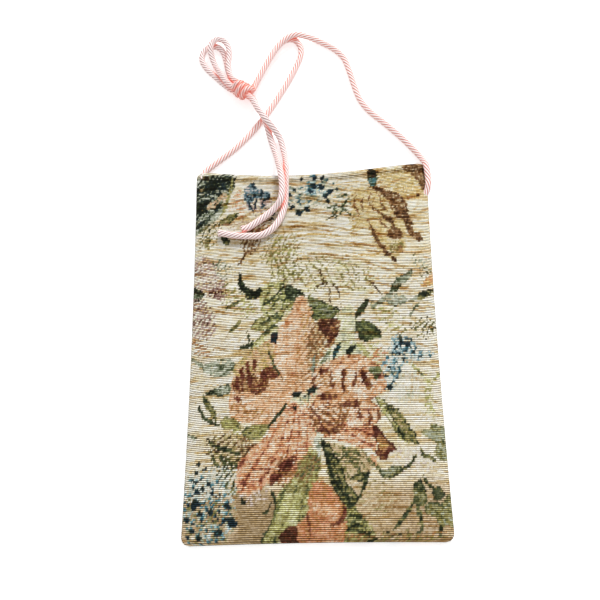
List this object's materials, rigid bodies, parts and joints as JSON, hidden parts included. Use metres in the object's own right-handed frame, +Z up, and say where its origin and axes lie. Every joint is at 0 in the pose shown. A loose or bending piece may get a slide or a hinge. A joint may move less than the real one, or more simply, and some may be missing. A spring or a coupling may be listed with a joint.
{
  "type": "shoulder bag",
  "caption": "Flat upright shoulder bag of ribbed floral tapestry with an open mouth, a thin lining and a twisted cord strap tied in a slipped knot.",
  "frame": {"origin": "centre of the bag's back, on the table that it lies on, the cords left out", "axes": "+X across the width to the right, +Y along the height towards the mouth, +Z up out of the front face"},
  "size_m": [0.1858, 0.4092, 0.0207],
  "materials": {
    "tapestry": "ribbed floral jacquard tapestry, matt with a slight sheen",
    "lining": "plain woven cotton, matt",
    "cord": "pink twisted satin cord, three strands"
  },
  "bodies": {
    "root": {"front_panel": "tapestry", "back_panel": "tapestry", "lining": "lining", "left_cord_run": "cord", "right_cord_run": "cord", "knot": "cord", "left_cord_loop": "cord", "right_cord_loop": "cord", "left_cord_tail": "cord", "right_cord_tail": "cord"}
  },
  "joints": []
}
